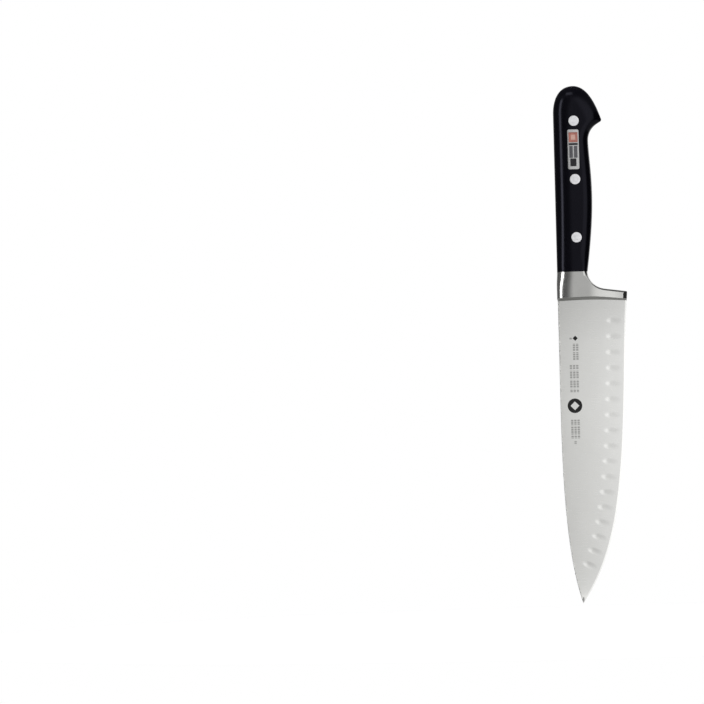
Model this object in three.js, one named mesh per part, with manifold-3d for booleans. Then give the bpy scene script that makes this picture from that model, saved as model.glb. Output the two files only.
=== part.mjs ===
/*
 * Forged chef's knife: a hollow-ground blade with bolster and full tang in one forging, two riveted
 * handle scales, three two-part rivets and an inlaid emblem plate.
 *
 * Millimetres, +Z up. The knife hangs tip down, its back face flat against a holder:
 *   +Z  from the tip to the butt of the handle
 *   +X  from the spine to the cutting edge
 *   +Y  from the front face of the blade to the back face, towards the holder
 * The origin is the point of the blade's back face that the holder grips. The outline is drawn in the
 * X,Z plane, and every section is symmetrical about the mid-plane of the blade.
 */
import * as THREE from 'three';
import { mergeVertices } from 'three/addons/utils/BufferGeometryUtils.js';
import Module from 'manifold-3d';

const wasm = await Module();
wasm.setup();

// Heights along the knife.
const BUTT_Z = 168.6;
const BEAK_Z = 146.6;
const BEAK_THROAT_Z = 132.2;
const BELLY_Z = 96;
const JOINT_Z = 46.5;
const BULGE_Z = 37;
const GUARD_Z = 34.75;
const HEEL_TOP_Z = 32.9;
const STEP_Z = 29;
const BLADE_TOP_Z = 26.6;
const PLANE_END_Z = -50;
const SPINE_BEND_Z = -38;
const EDGE_KNOT_Z = -74.3;
const TIP_Z = -171.7;

// Widths, measured from the grip point.
const BUTT_TOP_X = -5;
const BACK_X = -18.1;
const BOLSTER_BACK_X = -18.5;
const BEAK_X = 13.3;
const JOINT_FRONT_X = 2;
const GUARD_X = 13.5;
const HEEL_START_X = 2;
const HEEL_X = 27.5;
const HEEL_EDGE_X = 27.1;
const EDGE_KNOT_X = 22;
const TIP_X = -6.5;

// Half thicknesses.
const TANG_HALF = 1.6;
const SCALE_HALF = 7.8;
const SCALE_JOINT_DROP = 1.3;
const SCALE_BUTT_DROP = 0.4;
const SCALE_CREST_Z = 105;
const BOLSTER_FOOT_HALF = 5.3;
const HEEL_HALF = 2.7;
const HEEL_RIM_HALF = 1;
const SPINE_HALF = 1.5;
const SHOULDER_HALF = 0.2;
const TIP_HALF = 0.5;
const EDGE_HALF = 0.04;
const FACE_SLOPE_X = 0.0265;
const FACE_SLOPE_Z = 0.0026;

// Rolls along the spine, the belly and the guard, and what softens the bolster's other edges.
const SPINE_ROUND = 11;
const BELLY_ROUND = 6.5;
const BELLY_ROUND_Z = 60;
const JOINT_ROUND = 3.5;
const GUARD_ROUND = 1.3;
const GUARD_ROUND_Z = 41;
const HEEL_CORNER = 0.8;
const HEEL_FACET = 2.4;
const FILLET = 2.2;
const HEEL_FILLET = 1.3;
const BEVEL_WIDTH = 1;

// The line where the blade's faces turn up into the bolster.
const ARCH_SPINE_Z = 27.15;
const ARCH_HEEL_Z = 26.7;
const ARCH_RISE = 0.85;

// Hollows ground into both faces along the edge.
const HOLLOW_COUNT = 17;
const HOLLOW_PITCH = 10.35;
const HOLLOW_FIRST = 13.3;
const HOLLOW_INSET = 7.8;
const HOLLOW_LENGTH = 11.5;
const HOLLOW_WIDTH = 5;
const HOLLOW_DEPTH = 0.2;
const HOLLOW_SIDES = 14;
const HOLLOW_SLOPE_REACH = 0.5;

// Two-part rivets.
const RIVET_X = -4.9;
const RIVET_HEIGHTS = [145.6, 107.2, 69];
const RIVET_NAMES = ['butt', 'middle', 'front'];
const HEAD_RADIUS = 3.4;
const HEAD_THICKNESS = 1.5;
const SLEEVE_RADIUS = 2.3;
const SLEEVE_BORE = 1.75;
const PIN_RADIUS = 1.5;
const CLEARANCE = 0.3;
const ROUND_SIDES = 24;

// Emblem plate, set into the front scale.
const EMBLEM_X = -5.55;
const EMBLEM_Z = 126.8;
const EMBLEM_WIDTH = 7.6;
const EMBLEM_LENGTH = 26.3;
const EMBLEM_THICKNESS = 1.2;
const EMBLEM_CORNER = 1.2;

// How finely the sections are sampled.
const COLUMNS = 14;
const CURVE_STEPS = 24;
const DOME_LEVELS = 9;
const BEAK_END_Z = 143;
const TIP_START_Z = -130;

const lerp = (a, b, share) => a + (b - a) * share;
const clamp = (value) => Math.min(1, Math.max(0, value));
const smooth = (value) => clamp(value) ** 2 * (3 - 2 * clamp(value));
const quarterRound = (share) => Math.sqrt(1 - (1 - clamp(share)) ** 2);
const eased = (count, step) => (1 - Math.cos(Math.PI * step / count)) / 2;

// Outline of the knife: the spine side and the edge side, both from the butt down to the tip.

// The bolster's back stands out a little from the handle's and steps in again to the blade's.
function spineSide() {
  const path = new THREE.Path();
  path.moveTo(BUTT_TOP_X, BUTT_Z);
  path.bezierCurveTo(-13.5, BUTT_Z, BACK_X, 161, BACK_X, 150);
  path.lineTo(BACK_X, JOINT_Z);
  path.bezierCurveTo(BACK_X, 42, BOLSTER_BACK_X, 42, BOLSTER_BACK_X, BULGE_Z);
  path.lineTo(BOLSTER_BACK_X, STEP_Z);
  path.bezierCurveTo(BOLSTER_BACK_X, 28, BACK_X, 28, BACK_X, BLADE_TOP_Z);
  path.lineTo(BACK_X, SPINE_BEND_Z);
  path.bezierCurveTo(BACK_X, -83, -17.4, -138.7, TIP_X, TIP_Z);
  return path;
}

function buttDome() {
  const path = new THREE.Path();
  path.moveTo(BUTT_TOP_X, BUTT_Z);
  path.bezierCurveTo(2.5, BUTT_Z, 8.5, 161.5, BEAK_X, BEAK_Z);
  return path;
}

function handleBelly() {
  const path = new THREE.Path();
  path.moveTo(BEAK_X, BEAK_Z);
  path.quadraticCurveTo(13.7, 145.4, 12.6, 144.6);
  path.bezierCurveTo(8.6, 142.4, 4.5, 139.2, 4.45, BEAK_THROAT_Z);
  path.bezierCurveTo(4.65, 122, 6.2, 113, 6.2, BELLY_Z);
  path.bezierCurveTo(6.2, 78, 3.7, 60, JOINT_FRONT_X, JOINT_Z);
  path.bezierCurveTo(2.3, 41.2, 5.6, 35.8, GUARD_X, GUARD_Z);
  path.lineTo(HEEL_X - HEEL_CORNER, HEEL_TOP_Z);
  path.quadraticCurveTo(HEEL_X, HEEL_TOP_Z, HEEL_X, HEEL_TOP_Z - HEEL_CORNER);
  path.lineTo(HEEL_EDGE_X, BLADE_TOP_Z);
  return path;
}

function cuttingEdge() {
  const path = new THREE.Path();
  path.moveTo(HEEL_EDGE_X, BLADE_TOP_Z);
  path.bezierCurveTo(25.2, -3, 24.9, -41, EDGE_KNOT_X, EDGE_KNOT_Z);
  path.bezierCurveTo(18.5, -110, 13.9, -143.4, TIP_X, TIP_Z);
  return path;
}

const edgePath = cuttingEdge();
const spinePoints = spineSide().getPoints(CURVE_STEPS);
const domePoints = buttDome().getPoints(CURVE_STEPS);
const bellyPoints = handleBelly().getPoints(CURVE_STEPS);
const frontPoints = [...domePoints, ...bellyPoints, ...edgePath.getPoints(CURVE_STEPS)];

// Where a side of the outline crosses height z.
function crossing(points, z) {
  for (let i = 1; i < points.length; i += 1) {
    const [above, below] = [points[i - 1], points[i]];
    if (z <= above.y && z >= below.y && above.y > below.y) {
      return lerp(above.x, below.x, (above.y - z) / (above.y - below.y));
    }
  }
  return points[points.length - 1].x;
}

function distanceTo(points, x, z) {
  let nearest = Infinity;
  for (let i = 1; i < points.length; i += 1) {
    const [a, b] = [points[i - 1], points[i]];
    const length = a.distanceTo(b);
    if (length > 0) {
      const along = clamp(((x - a.x) * (b.x - a.x) + (z - a.y) * (b.y - a.y)) / length ** 2);
      nearest = Math.min(nearest, Math.hypot(x - lerp(a.x, b.x, along), z - lerp(a.y, b.y, along)));
    }
  }
  return nearest;
}

// Half thickness at a point of each region.

function handleHalf(z) {
  const reach = z < SCALE_CREST_Z ? SCALE_CREST_Z - JOINT_Z : BUTT_Z - SCALE_CREST_Z;
  const drop = z < SCALE_CREST_Z ? SCALE_JOINT_DROP : SCALE_BUTT_DROP;
  return SCALE_HALF - drop * ((z - SCALE_CREST_Z) / reach) ** 2;
}

// Radius of the roll along the belly and the guard, tighter towards the blade.
function frontRound(z) {
  const guardShare = smooth((z - GUARD_ROUND_Z) / (JOINT_Z - GUARD_ROUND_Z));
  const bellyShare = smooth((z - JOINT_Z) / (BELLY_ROUND_Z - JOINT_Z));
  return lerp(lerp(GUARD_ROUND, JOINT_ROUND, guardShare), BELLY_ROUND, bellyShare);
}

// How far the surface has risen from the rim to full thickness, 0 to 1: it rolls over from the spine
// side and the butt on one hand, and from the belly, the guard and the heel on the other.
function rolledOver(x, z) {
  const outer = Math.min(distanceTo(spinePoints, x, z), distanceTo(domePoints, x, z));
  const inner = distanceTo(bellyPoints, x, z);
  return quarterRound(outer / SPINE_ROUND) * quarterRound(inner / frontRound(z));
}

function scaleHalf(x, z) {
  return lerp(TANG_HALF, handleHalf(z), rolledOver(x, z));
}

function facePlane(x, z) {
  return SPINE_HALF - FACE_SLOPE_X * (x - BACK_X) - FACE_SLOPE_Z * (BLADE_TOP_Z - z);
}

function bladeHalf(x, z) {
  if (z >= PLANE_END_Z) {
    return facePlane(x, z);
  }
  const taper = (PLANE_END_Z - z) / (PLANE_END_Z - TIP_Z);
  const back = crossing(spinePoints, z);
  const shoulder = crossing(frontPoints, z) - BEVEL_WIDTH;
  const spineHalf = lerp(facePlane(BACK_X, PLANE_END_Z), TIP_HALF, taper);
  const shoulderHalf = lerp(facePlane(crossing(frontPoints, PLANE_END_Z), PLANE_END_Z), SHOULDER_HALF, taper);
  return lerp(spineHalf, shoulderHalf, clamp((x - back) / Math.max(1, shoulder - back)));
}

function archHeight(x) {
  const share = (x - BACK_X) / (HEEL_X - BACK_X);
  return lerp(ARCH_SPINE_Z, ARCH_HEEL_Z, share) + ARCH_RISE * Math.sin(Math.PI * share);
}

// The bolster thins from the handle to the heel, whose end is cut back by a flat facet on both sides.
function bolsterHalf(x, z) {
  const heelShare = smooth((x - HEEL_START_X) / (HEEL_X - HEEL_START_X));
  const foot = lerp(BOLSTER_FOOT_HALF, HEEL_HALF, heelShare);
  const crest = lerp(foot, handleHalf(JOINT_Z), smooth((z - HEEL_TOP_Z) / (JOINT_Z - HEEL_TOP_Z)));
  const rim = lerp(TANG_HALF, HEEL_RIM_HALF, heelShare);
  const rolled = lerp(rim, crest, rolledOver(x, z));
  const facet = lerp(HEEL_RIM_HALF, HEEL_HALF, (crossing(frontPoints, z) - x) / HEEL_FACET);
  const full = z < HEEL_TOP_Z ? Math.min(rolled, facet) : rolled;
  const fillet = lerp(FILLET, HEEL_FILLET, heelShare);
  return lerp(bladeHalf(x, z), full, smooth((z - archHeight(x)) / fillet));
}

// Closed bodies from geometry.

function closed(geometry) {
  const bare = geometry.index ? geometry.toNonIndexed() : geometry;
  bare.deleteAttribute('normal');
  bare.deleteAttribute('uv');
  const merged = mergeVertices(bare, 1e-4);
  const corners = merged.index.array;
  const kept = [];
  for (let i = 0; i < corners.length; i += 3) {
    const [a, b, c] = corners.slice(i, i + 3);
    if (a !== b && b !== c && c !== a) {
      kept.push(a, b, c);
    }
  }
  merged.setIndex(kept);
  return merged;
}

function volume(geometry) {
  const [a, b, c] = [new THREE.Vector3(), new THREE.Vector3(), new THREE.Vector3()];
  const place = geometry.getAttribute('position');
  const corners = geometry.index.array;
  let total = 0;
  for (let i = 0; i < corners.length; i += 3) {
    a.fromBufferAttribute(place, corners[i]);
    b.fromBufferAttribute(place, corners[i + 1]);
    c.fromBufferAttribute(place, corners[i + 2]);
    total += a.dot(b.cross(c)) / 6;
  }
  return total;
}

function facingOut(geometry) {
  const body = closed(geometry);
  if (volume(body) < 0) {
    body.setIndex([...body.index.array].reverse());
  }
  return body;
}

// A body through a stack of rings with the same number of points, capped at both ends.
function stacked(rings) {
  const size = rings[0].length;
  const triangles = [];
  for (let level = 1; level < rings.length; level += 1) {
    const [upper, lower] = [rings[level - 1], rings[level]];
    for (let i = 0; i < size; i += 1) {
      const next = (i + 1) % size;
      triangles.push(upper[i], lower[i], lower[next], upper[i], lower[next], upper[next]);
    }
  }
  const [top, bottom] = [rings[0], rings[rings.length - 1]];
  for (let i = 2; i < size; i += 1) {
    triangles.push(top[0], top[i - 1], top[i], bottom[0], bottom[i], bottom[i - 1]);
  }
  return facingOut(new THREE.BufferGeometry().setFromPoints(triangles));
}

function solid(geometry) {
  const body = facingOut(geometry);
  const vertProperties = new Float32Array(body.getAttribute('position').array);
  const triVerts = new Uint32Array(body.index.array);
  return new wasm.Manifold(new wasm.Mesh({ numProp: 3, vertProperties, triVerts }));
}

function geometryOf(body) {
  const { vertProperties, triVerts } = body.getMesh();
  const geometry = new THREE.BufferGeometry();
  geometry.setAttribute('position', new THREE.BufferAttribute(vertProperties, 3));
  geometry.setIndex(new THREE.BufferAttribute(triVerts, 1));
  return geometry;
}

// Heights of the sections, closer together where the outline turns.

function spread(from, to, count) {
  return Array.from({ length: count }, (_, step) => lerp(from, to, step / count));
}

function handleLevels() {
  const dome = Array.from({ length: DOME_LEVELS }, (_, step) => {
    const share = 1 - Math.cos(Math.PI / 2 * step / DOME_LEVELS);
    return lerp(BUTT_Z, BEAK_Z, share);
  });
  const beak = spread(BEAK_Z, BEAK_END_Z, 5);
  const throat = spread(BEAK_END_Z, BEAK_THROAT_Z, 6);
  const grip = spread(BEAK_THROAT_Z, JOINT_Z, 7);
  return [...dome, ...beak, ...throat, ...grip, JOINT_Z];
}

function bolsterLevels() {
  return [
    ...spread(JOINT_Z, GUARD_Z, 6),
    ...spread(GUARD_Z, HEEL_TOP_Z, 5),
    ...spread(HEEL_TOP_Z, BLADE_TOP_Z, 8),
    BLADE_TOP_Z,
  ];
}

function bladeLevels() {
  return [
    ...spread(BLADE_TOP_Z, PLANE_END_Z, 5),
    ...spread(PLANE_END_Z, TIP_START_Z, 8),
    ...spread(TIP_START_Z, TIP_Z, 9),
    TIP_Z,
  ];
}

// A ring across the whole knife at height z: along the front face, then back along the rear one.
function forgingRing(z, half, faces, bevel) {
  const back = crossing(spinePoints, z);
  const front = crossing(frontPoints, z);
  const shoulder = Math.max(back, front - bevel);
  const columns = [];
  for (let step = 0; step <= faces; step += 1) {
    const x = lerp(back, shoulder, eased(faces, step));
    columns.push([x, half(x, z)]);
  }
  if (bevel > 0) {
    columns.push([front, EDGE_HALF]);
  }
  return [
    ...columns.map(([x, y]) => new THREE.Vector3(x, -y, z)),
    ...columns.reverse().map(([x, y]) => new THREE.Vector3(x, y, z)),
  ];
}

function scaleRing(z, side) {
  const back = crossing(spinePoints, z);
  const front = crossing(frontPoints, z);
  const ring = [];
  for (let step = 0; step <= COLUMNS; step += 1) {
    const x = lerp(back, front, eased(COLUMNS, step));
    const half = step === 0 || step === COLUMNS ? TANG_HALF : scaleHalf(x, z);
    ring.push(new THREE.Vector3(x, side * half, z));
  }
  return ring;
}

// Cutters.

function bore(z, radius, from, to) {
  const cylinder = new THREE.CylinderGeometry(radius, radius, to - from, ROUND_SIDES);
  cylinder.translate(0, (from + to) / 2, 0);
  return solid(cylinder.translate(RIVET_X, 0, z));
}

function rivetBores(reach) {
  return RIVET_HEIGHTS.map((z) => bore(z, SLEEVE_RADIUS + CLEARANCE, -reach, reach));
}

// A shallow dish, unit radius across, open upwards past the face.
function dish() {
  const profile = [
    new THREE.Vector2(0, -HOLLOW_DEPTH),
    new THREE.Vector2(0.5, -0.75 * HOLLOW_DEPTH),
    new THREE.Vector2(1, 0),
    new THREE.Vector2(1.05, 1),
    new THREE.Vector2(0, 1),
  ];
  return new THREE.LatheGeometry(profile, HOLLOW_SIDES);
}

// One hollow, square to the edge, cut into the face on the given side (-1 front, 1 back).
function hollow(distance, side) {
  const share = distance / edgePath.getLength();
  const foot = edgePath.getPointAt(share);
  const along = edgePath.getTangentAt(share);
  const across = new THREE.Vector2(along.y, -along.x);
  const centre = foot.clone().addScaledVector(across, HOLLOW_INSET);
  const slope = (step) => {
    const shift = step.clone().multiplyScalar(HOLLOW_SLOPE_REACH);
    const ahead = bladeHalf(centre.x + shift.x, centre.y + shift.y);
    const behind = bladeHalf(centre.x - shift.x, centre.y - shift.y);
    return (ahead - behind) / (2 * HOLLOW_SLOPE_REACH);
  };
  const longAxis = new THREE.Vector3(across.x, side * slope(across), across.y).normalize();
  const shortAxis = new THREE.Vector3(along.x, side * slope(along), along.y).normalize();
  const outward = new THREE.Vector3().crossVectors(longAxis, shortAxis).normalize();
  outward.multiplyScalar(Math.sign(outward.y) * side);
  const place = new THREE.Matrix4().makeBasis(
    longAxis.multiplyScalar(HOLLOW_LENGTH / 2),
    outward,
    shortAxis.multiplyScalar(HOLLOW_WIDTH / 2),
  );
  place.setPosition(centre.x, side * bladeHalf(centre.x, centre.y), centre.y);
  return solid(dish().applyMatrix4(place));
}

function hollows() {
  const cuts = [];
  for (let i = 0; i < HOLLOW_COUNT; i += 1) {
    cuts.push(hollow(HOLLOW_FIRST + i * HOLLOW_PITCH, -1));
    if (i < HOLLOW_COUNT - 1) {
      cuts.push(hollow(HOLLOW_FIRST + (i + 0.5) * HOLLOW_PITCH, 1));
    }
  }
  return cuts;
}

function emblemShape(grow) {
  const width = EMBLEM_WIDTH / 2 + grow;
  const length = EMBLEM_LENGTH / 2 + grow;
  const corner = EMBLEM_CORNER + grow;
  const shape = new THREE.Shape();
  shape.absarc(width - corner, length - corner, corner, 0, Math.PI / 2);
  shape.absarc(corner - width, length - corner, corner, Math.PI / 2, Math.PI);
  shape.absarc(corner - width, corner - length, corner, Math.PI, Math.PI * 1.5);
  shape.absarc(width - corner, corner - length, corner, Math.PI * 1.5, Math.PI * 2);
  return shape;
}

// The plate lies flush in the front face; its pocket is a little larger and open to the front.
function emblemGeometry(grow, thickness) {
  const geometry = new THREE.ExtrudeGeometry(emblemShape(grow), {
    depth: thickness,
    bevelEnabled: false,
    curveSegments: 4,
  });
  const floor = handleHalf(EMBLEM_Z) - EMBLEM_THICKNESS;
  return geometry.rotateX(Math.PI / 2).translate(EMBLEM_X, -floor, EMBLEM_Z);
}

// Pieces.

// Tang, bolster and blade are one forging. The tang is a flat slab and each blade face is flat from
// the spine to the bevel, so only the bolster needs many columns.
function forgedBlade() {
  const tang = handleLevels().map((z) => forgingRing(z, () => TANG_HALF, 1, 0));
  const bolster = bolsterLevels().map((z) => forgingRing(z, bolsterHalf, COLUMNS, 0));
  const blade = bladeLevels().map((z) => forgingRing(z, bladeHalf, 1, BEVEL_WIDTH));
  const forging = solid(stacked(tang)).add(solid(stacked(bolster))).add(solid(stacked(blade)));
  const cuts = [...rivetBores(SCALE_HALF), ...hollows()];
  return geometryOf(cuts.reduce((body, cut) => body.subtract(cut), forging));
}

function handleScale(side) {
  const rings = handleLevels().map((z) => scaleRing(z, side));
  let body = solid(stacked(rings));
  for (const cut of rivetBores(2 * SCALE_HALF)) {
    body = body.subtract(cut);
  }
  for (const z of RIVET_HEIGHTS) {
    const seat = handleHalf(z) - HEAD_THICKNESS - CLEARANCE;
    const limits = [side * seat, side * 2 * SCALE_HALF].sort((a, b) => a - b);
    body = body.subtract(bore(z, HEAD_RADIUS + CLEARANCE, ...limits));
  }
  if (side < 0) {
    body = body.subtract(solid(emblemGeometry(CLEARANCE, SCALE_HALF)));
  }
  return geometryOf(body);
}

// The socket half: a head flush with the front face on a sleeve that runs to the pin's head.
function rivetSleeve(z) {
  const face = handleHalf(z);
  const end = face - HEAD_THICKNESS - CLEARANCE;
  const profile = [
    new THREE.Vector2(SLEEVE_BORE, -face),
    new THREE.Vector2(HEAD_RADIUS, -face),
    new THREE.Vector2(HEAD_RADIUS, HEAD_THICKNESS - face),
    new THREE.Vector2(SLEEVE_RADIUS, HEAD_THICKNESS - face),
    new THREE.Vector2(SLEEVE_RADIUS, end),
    new THREE.Vector2(SLEEVE_BORE, end),
    new THREE.Vector2(SLEEVE_BORE, -face),
  ];
  return facingOut(new THREE.LatheGeometry(profile, ROUND_SIDES));
}

// The pin half: a head flush with the back face on a pin whose end shows in the sleeve's mouth.
function rivetPin(z) {
  const face = handleHalf(z);
  const profile = [
    new THREE.Vector2(0, -face),
    new THREE.Vector2(PIN_RADIUS, -face),
    new THREE.Vector2(PIN_RADIUS, face - HEAD_THICKNESS),
    new THREE.Vector2(HEAD_RADIUS, face - HEAD_THICKNESS),
    new THREE.Vector2(HEAD_RADIUS, face),
    new THREE.Vector2(0, face),
  ];
  return facingOut(new THREE.LatheGeometry(profile, ROUND_SIDES));
}

// Materials and assembly.

const satinSteel = { color: 0xc9c9c6, roughness: 0.32, metalness: 1 };
const blackPolymer = { color: 0x121214, roughness: 0.22, metalness: 0 };
const polishedSteel = { color: 0xdededc, roughness: 0.18, metalness: 1 };
const silveredPlate = { color: 0xd5d4d2, roughness: 0.3, metalness: 0.8 };

const knife = new THREE.Group();
knife.position.y = -bladeHalf(0, 0);

function addPiece(name, geometry, look, x = 0, z = 0) {
  geometry.computeVertexNormals();
  const piece = new THREE.Mesh(geometry, new THREE.MeshStandardMaterial(look));
  piece.name = name;
  piece.position.set(x, 0, z);
  knife.add(piece);
}

addPiece('forged_blade', forgedBlade(), satinSteel);
addPiece('front_scale', handleScale(-1), blackPolymer);
addPiece('back_scale', handleScale(1), blackPolymer);
RIVET_HEIGHTS.forEach((z, i) => {
  addPiece(`rivet_sleeve_${RIVET_NAMES[i]}`, rivetSleeve(z), polishedSteel, RIVET_X, z);
  addPiece(`rivet_pin_${RIVET_NAMES[i]}`, rivetPin(z), polishedSteel, RIVET_X, z);
});
addPiece('emblem_plate', facingOut(emblemGeometry(0, EMBLEM_THICKNESS)), silveredPlate);

const object = new THREE.Group();
object.add(knife);

export default object;
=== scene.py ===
"""Looks of the forged chef's knife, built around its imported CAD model.

The shapes repeat the CAD model's own formulas at a finer grain, in millimetres and about the
mid-plane of the blade: x runs from the spine to the edge, z from the tip to the butt, and a
surface is its half thickness over (x, z). Meshes go into the frame in metres.
"""
import math
from collections import defaultdict

import bmesh
import bpy
import numpy as np
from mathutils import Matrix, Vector, geometry


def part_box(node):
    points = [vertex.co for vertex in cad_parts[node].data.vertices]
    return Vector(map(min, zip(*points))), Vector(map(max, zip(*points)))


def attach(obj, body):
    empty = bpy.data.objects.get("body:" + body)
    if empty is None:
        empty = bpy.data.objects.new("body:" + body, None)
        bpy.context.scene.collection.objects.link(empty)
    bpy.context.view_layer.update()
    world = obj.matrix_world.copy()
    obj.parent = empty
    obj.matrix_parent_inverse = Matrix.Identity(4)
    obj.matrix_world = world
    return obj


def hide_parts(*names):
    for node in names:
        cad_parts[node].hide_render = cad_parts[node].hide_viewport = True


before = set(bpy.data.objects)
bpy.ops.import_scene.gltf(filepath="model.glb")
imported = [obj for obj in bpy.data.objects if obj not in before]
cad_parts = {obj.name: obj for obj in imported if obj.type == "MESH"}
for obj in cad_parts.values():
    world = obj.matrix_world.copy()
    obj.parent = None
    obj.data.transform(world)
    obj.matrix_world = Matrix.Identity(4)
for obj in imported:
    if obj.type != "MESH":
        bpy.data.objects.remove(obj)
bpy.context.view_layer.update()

MM = 0.001
BODY = "root"
FRONT, BACK = -1, 1

# Heights along the knife.
BUTT_Z = 168.6
CROWN_Z = 150.0
BEAK_Z = 146.6
THROAT_Z = 132.2
BELLY_Z = 96.0
JOINT_Z = 46.5
BULGE_Z = 37.0
GUARD_Z = 34.75
HEEL_TOP_Z = 32.9
STEP_Z = 29.0
BLADE_TOP_Z = 26.6
PLANE_END_Z = -50.0
SPINE_BEND_Z = -38.0
EDGE_KNOT_Z = -74.3
TIP_Z = -171.7

# Widths, measured from the grip point.
BUTT_TOP_X = -5.0
BACK_X = -18.1
BOLSTER_BACK_X = -18.5
BEAK_X = 13.3
GUARD_X = 13.5
JOINT_FRONT_X = 2.0
HEEL_X = 27.5
HEEL_EDGE_X = 27.1
EDGE_KNOT_X = 22.0
TIP_X = -6.5

# Half thicknesses.
TANG_HALF = 1.6
SCALE_HALF = 7.8
SCALE_JOINT_DROP = 1.3
SCALE_BUTT_DROP = 0.4
SCALE_CREST_Z = 105.0
FOOT_HALF = 5.3
HEEL_HALF = 2.7
HEEL_RIM_HALF = 1.0
SPINE_HALF = 1.5
SHOULDER_HALF = 0.2
TIP_HALF = 0.5
EDGE_HALF = 0.04
FACE_SLOPE_X = 0.0265
FACE_SLOPE_Z = 0.0026

# Roundings and facets.
SPINE_ROUND = 11.0
BELLY_ROUND = 6.5
BELLY_ROUND_Z = 60.0
JOINT_ROUND = 3.5
GUARD_ROUND = 1.3
GUARD_ROUND_Z = 41.0
HEEL_CORNER = 0.8
HEEL_FACET = 2.4
HEEL_START_X = 2.0
FILLET = 2.2
HEEL_FILLET = 1.3
ARCH_SPINE_Z = 27.15
ARCH_HEEL_Z = 26.7
ARCH_RISE = 0.85
BEVEL_WIDTH = 1.0
BEVEL_FADE = 1.0
SPINE_CORNER = 0.6
TANG_CHAMFER = 0.12

# Hollows ground along the edge.
HOLLOW_COUNT = 17
HOLLOW_PITCH = 10.35
HOLLOW_FIRST = 13.3
HOLLOW_INSET = 7.8
HOLLOW_LENGTH = 11.5
HOLLOW_WIDTH = 5.0
HOLLOW_DEPTH = 0.2
HOLLOW_ENTRY = 0.7
HOLLOW_EXIT = 1.7
HOLLOW_CLEAR = 1.1

# Rivets and emblem.
RIVETS = ("butt", "middle", "front")
HEAD_RADIUS = 3.4
HEAD_THICKNESS = 1.5
SLEEVE_RADIUS = 2.3
PIN_RADIUS = 1.5
FIT = 0.05
PROUD = 0.02
HEAD_EDGE = 0.08
HEAD_CROWN = 0.35
BROKEN_DEPTH = 0.1
EMBLEM_CORNER = 1.2
EMBLEM_THICKNESS = 1.2

# How finely the faces are sampled.
CURVE_STEPS = 60
ROLL_STEPS = 12
RIM_STEP = 0.8
GUARD_STEP = 0.6
ROLL_STEP = 0.5
ARCH_STEP = 0.2
ARCH_MARGIN = 0.6
ARCH_CLEAR = 0.65
BOLSTER_GRID = 0.9
BOLSTER_GAP = 2.2
BLADE_GRID = 2.2
BLADE_GAP = 1.6
SCALE_STEP = 0.9
SCALE_GRID = 1.4
TIP_MARGIN = 4.0
RIM_SHARE = 0.97
HOLE_MARGIN = 1.06
NORMAL_REACH = 0.002
CREASE_SHARE = 0.2
KEY_DIGITS = 4
PROBE = 0.05
SMOOTH_ANGLE = math.radians(35)

MID_Y = (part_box("front_scale")[0].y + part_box("back_scale")[1].y) / 2 / MM


# Curves in the (x, z) plane.

def bezier(*controls, steps=CURVE_STEPS):
    """Points along a Bezier curve of any degree; two controls make a straight line."""
    share = np.linspace(0, 1, steps + 1)[:, None]
    layers = [np.array(control, float) + 0 * share for control in controls]
    while len(layers) > 1:
        layers = [a + (b - a) * share for a, b in zip(layers, layers[1:])]
    return layers[0]


def joined(*parts):
    """One line through several that meet end to end."""
    return np.vstack([parts[0]] + [part[1:] for part in parts[1:]])


def run_lengths(path):
    """How far along a line each of its points is."""
    return np.concatenate([[0], np.cumsum(np.hypot(*np.diff(path, axis=0).T))])


def points_at(path, marks):
    """The points of a line at given distances along it."""
    lengths = run_lengths(path)
    return np.column_stack([np.interp(marks, lengths, path[:, k]) for k in (0, 1)])


def spaced(path, step):
    """The same line with its points a step apart."""
    total = run_lengths(path)[-1]
    return points_at(path, np.linspace(0, total, max(1, round(total / step)) + 1))


spine_crown = bezier((BUTT_TOP_X, BUTT_Z), (-13.5, BUTT_Z), (BACK_X, 161), (BACK_X, CROWN_Z))
handle_back = bezier((BACK_X, CROWN_Z), (BACK_X, JOINT_Z))
bolster_back = joined(
    bezier((BACK_X, JOINT_Z), (BACK_X, 42), (BOLSTER_BACK_X, 42), (BOLSTER_BACK_X, BULGE_Z)),
    bezier((BOLSTER_BACK_X, BULGE_Z), (BOLSTER_BACK_X, STEP_Z)),
    bezier((BOLSTER_BACK_X, STEP_Z), (BOLSTER_BACK_X, 28), (BACK_X, 28), (BACK_X, BLADE_TOP_Z)),
)
blade_back = bezier((BACK_X, BLADE_TOP_Z), (BACK_X, SPINE_BEND_Z))
spine_sweep = bezier((BACK_X, SPINE_BEND_Z), (BACK_X, -83), (-17.4, -138.7), (TIP_X, TIP_Z))
spine_line = joined(spine_crown, handle_back, bolster_back, blade_back, spine_sweep)
dome = bezier((BUTT_TOP_X, BUTT_Z), (2.5, BUTT_Z), (8.5, 161.5), (BEAK_X, BEAK_Z))
belly = joined(
    bezier((BEAK_X, BEAK_Z), (13.7, 145.4), (12.6, 144.6), steps=12),
    bezier((12.6, 144.6), (8.6, 142.4), (4.5, 139.2), (4.45, THROAT_Z)),
    bezier((4.45, THROAT_Z), (4.65, 122), (6.2, 113), (6.2, BELLY_Z)),
    bezier((6.2, BELLY_Z), (6.2, 78), (3.7, 60), (JOINT_FRONT_X, JOINT_Z)),
)
guard_curve = bezier((JOINT_FRONT_X, JOINT_Z), (2.3, 41.2), (5.6, 35.8), (GUARD_X, GUARD_Z))
guard_top = bezier((GUARD_X, GUARD_Z), (HEEL_X - HEEL_CORNER, HEEL_TOP_Z))
heel_corner = bezier(
    (HEEL_X - HEEL_CORNER, HEEL_TOP_Z), (HEEL_X, HEEL_TOP_Z), (HEEL_X, HEEL_TOP_Z - HEEL_CORNER),
    steps=8,
)
heel_end = bezier((HEEL_X, HEEL_TOP_Z - HEEL_CORNER), (HEEL_EDGE_X, BLADE_TOP_Z))
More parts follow.
